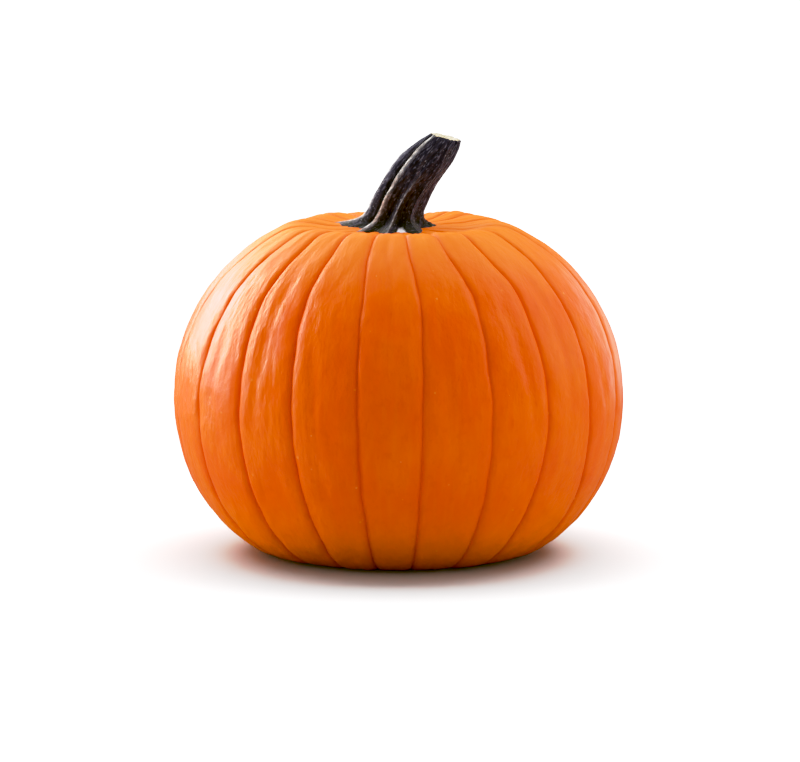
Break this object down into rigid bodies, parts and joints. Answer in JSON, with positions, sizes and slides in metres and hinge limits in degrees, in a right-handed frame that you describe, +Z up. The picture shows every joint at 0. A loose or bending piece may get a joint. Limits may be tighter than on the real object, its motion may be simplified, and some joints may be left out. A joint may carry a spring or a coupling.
{
  "type": "pumpkin",
  "caption": "Whole round orange carving pumpkin with shallow ribs, a small flat foot and a short curved, ridged, dark woody stem cut off at a slant.",
  "frame": {"origin": "under the middle of the fruit, on the surface it rests on", "axes": "+Z up along the fruit's core line, -Y towards the side seen as the front, +X the side the stem leans to"},
  "size_m": [0.2797, 0.2795, 0.2605],
  "materials": {
    "skin": "smooth waxy orange rind, satin to semi-gloss, deeper orange in the creases and paler on the shoulders, with fine pale specks",
    "bark": "dry, rough, dark brown-black woody stem with pale weathered ridge lines, a green-tinged foot and a cream cut end"
  },
  "bodies": {
    "root": {"fruit": "skin", "stem": "bark"}
  },
  "joints": []
}
